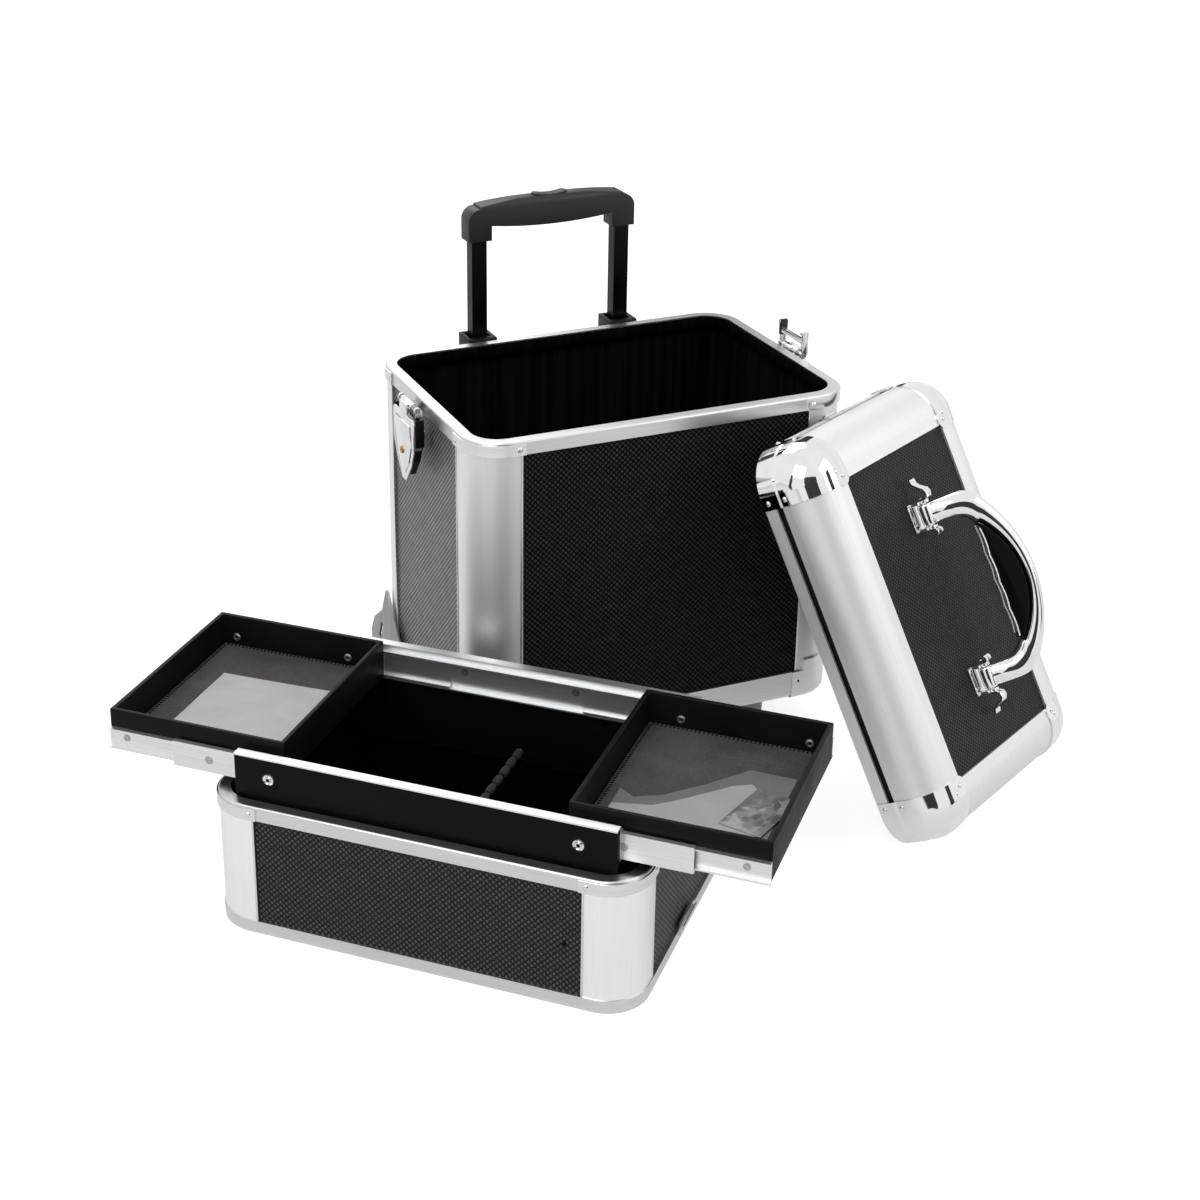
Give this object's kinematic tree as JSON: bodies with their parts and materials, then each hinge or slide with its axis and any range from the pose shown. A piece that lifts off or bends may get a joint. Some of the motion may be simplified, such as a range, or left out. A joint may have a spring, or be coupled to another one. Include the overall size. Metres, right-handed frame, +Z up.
{
  "type": "rolling makeup case",
  "caption": "Rolling makeup case taken apart: a wheeled trunk with a telescopic handle, a section with sliding trays and a lid with a carry handle.",
  "frame": {"origin": "centre of the front left foot's pad, on the floor", "axes": "+Z up, +Y from the trunk's front towards its pull handle, +X to the trunk's right"},
  "size_m": [0.8469, 0.6552, 0.476],
  "materials": {
    "panel": "black embossed laminate on plywood",
    "aluminium": "satin anodised",
    "chrome": "bright plated",
    "steel": "zinc plated",
    "cloth": "black lining cloth",
    "rubber": "matt",
    "plastic": "fine grain",
    "board": "leatherette on board",
    "tube": "black coated",
    "tyre": "matt"
  },
  "bodies": {
    "trunk": {"trunk_long_panels": "panel", "trunk_side_panels": "panel", "trunk_floor": "panel", "trunk_corner_posts": "aluminium", "trunk_top_rim": "aluminium", "trunk_rim_brackets": "chrome", "trunk_bottom_rails": "aluminium", "trunk_corner_caps": "aluminium", "trunk_rivets": "steel", "trunk_lining": "cloth", "trunk_feet": "rubber", "wheel_brackets": "steel", "wheel_axles": "steel", "handle_guide_tubes": "tube", "handle_clamps": "plastic", "trunk_latch_bases": "steel"},
    "left_wheel": {"left_wheel_tyre": "tyre", "left_wheel_hub": "plastic"},
    "right_wheel": {"right_wheel_tyre": "tyre", "right_wheel_hub": "plastic"},
    "pull_handle_middle": {"handle_middle_tubes": "tube"},
    "pull_handle_top": {"handle_upper_tubes": "tube", "handle_grip": "plastic"},
    "release_button": {"release_button": "plastic"},
    "left_trunk_latch": {"left_trunk_lever": "chrome"},
    "right_trunk_latch": {"right_trunk_lever": "chrome"},
    "left_draw_hook": {"left_trunk_hook": "steel"},
    "right_draw_hook": {"right_trunk_hook": "steel"},
    "tray_section": {"section_wall_panels": "panel", "section_floor": "panel", "section_corner_posts": "aluminium", "section_top_rim": "aluminium", "section_bottom_rim": "aluminium", "section_rim_brackets": "chrome", "section_rivets": "steel", "section_lining": "cloth", "section_latch_bases": "steel", "section_keepers": "steel", "runner_boards": "board", "slide_rails": "aluminium", "runner_screws": "chrome", "brush_divider": "cloth"},
    "left_section_latch": {"left_section_lever": "chrome"},
    "right_section_latch": {"right_section_lever": "chrome"},
    "left_tray": {"left_tray": "board", "left_slide_inners": "aluminium"},
    "left_slide": {"left_slide_middles": "aluminium"},
    "right_tray": {"right_tray": "board", "right_slide_inners": "aluminium"},
    "right_slide": {"right_slide_middles": "aluminium"},
    "lid": {"lid_top_panel": "panel", "lid_side_band": "panel", "lid_rim": "aluminium", "lid_profiles": "aluminium", "lid_corner_caps": "chrome", "lid_lining": "cloth", "lid_keepers": "steel", "carry_saddles": "chrome"},
    "carry_handle": {"carry_arch": "chrome", "carry_grip": "plastic"}
  },
  "joints": [
    {"name": "left_wheel_roll", "type": "hinge", "parent": "trunk", "child": "left_wheel", "pos_m": [-0.056, 0.214, 0.0185], "axis": [1, 0, 0], "continuous": true},
    {"name": "right_wheel_roll", "type": "hinge", "parent": "trunk", "child": "right_wheel", "pos_m": [0.276, 0.214, 0.0185], "axis": [1, 0, 0], "continuous": true},
    {"name": "handle_middle_slide", "type": "slide", "parent": "trunk", "child": "pull_handle_middle", "axis": [0, 0, 1], "range_m": [0, 0.2]},
    {"name": "handle_top_slide", "type": "slide", "parent": "pull_handle_middle", "child": "pull_handle_top", "axis": [0, 0, 1], "range_m": [-0.09, 0.14]},
    {"name": "release_press", "type": "slide", "parent": "pull_handle_top", "child": "release_button", "axis": [0, 0, -1], "range_m": [0, 0.003], "stiffness_N_per_m": 400, "springref_m": -0.003},
    {"name": "left_latch_swing", "type": "hinge", "parent": "trunk", "child": "left_trunk_latch", "pos_m": [-0.081, 0.09, 0.338], "axis": [0, 1, 0], "range_deg": [0, 95]},
    {"name": "right_latch_swing", "type": "hinge", "parent": "trunk", "child": "right_trunk_latch", "pos_m": [0.301, 0.09, 0.338], "axis": [0, -1, 0], "range_deg": [0, 95]},
    {"name": "left_hook_swing", "type": "hinge", "parent": "left_trunk_latch", "child": "left_draw_hook", "pos_m": [-0.081, 0.09, 0.338], "axis": [0, 1, 0], "range_deg": [-4, 1]},
    {"name": "right_hook_swing", "type": "hinge", "parent": "trunk", "child": "right_draw_hook", "pos_m": [0.301, 0.09, 0.338], "axis": [0, -1, 0], "range_deg": [-20, 20]},
    {"name": "section_lift", "type": "slide", "parent": "trunk", "child": "tray_section", "axis": [0, 0, 1], "range_m": [0, 0.4]},
    {"name": "left_section_latch_swing", "type": "hinge", "parent": "tray_section", "child": "left_section_latch", "pos_m": [-0.25394, -0.02137, 0.114], "axis": [0.6903, 0.7236, 0], "range_deg": [0, 95]},
    {"name": "right_section_latch_swing", "type": "hinge", "parent": "tray_section", "child": "right_section_latch", "pos_m": [0.02247, -0.28505, 0.114], "axis": [-0.6903, -0.7236, 0], "range_deg": [0, 95]},
    {"name": "left_tray_slide", "type": "slide", "parent": "tray_section", "child": "left_tray", "axis": [-0.7236, 0.6903, 0], "range_m": [-0.1215, 0.0025]},
    {"name": "left_middle_slide", "type": "slide", "parent": "tray_section", "child": "left_slide", "axis": [-0.7236, 0.6903, 0], "range_m": [-0.06125, 0.00175]},
    {"name": "right_tray_slide", "type": "slide", "parent": "tray_section", "child": "right_tray", "axis": [0.7236, -0.6903, 0], "range_m": [-0.114, 0.01]},
    {"name": "right_middle_slide", "type": "slide", "parent": "tray_section", "child": "right_slide", "axis": [0.7236, -0.6903, 0], "range_m": [-0.0575, 0.0055]},
    {"name": "lid_lift", "type": "slide", "parent": "trunk", "child": "lid", "axis": [0.2347, -0.4415, 0.866], "range_m": [0, 0.35]},
    {"name": "carry_handle_swing", "type": "hinge", "parent": "lid", "child": "carry_handle", "pos_m": [0.32783, -0.16764, 0.19132], "axis": [-0.2197, 0.4132, 0.8838], "range_deg": [-123, 37]}
  ],
  "couplings": [
    {"joint": "left_middle_slide", "follows": "left_tray_slide", "ratio": 0.5},
    {"joint": "right_middle_slide", "follows": "right_tray_slide", "ratio": 0.5}
  ]
}
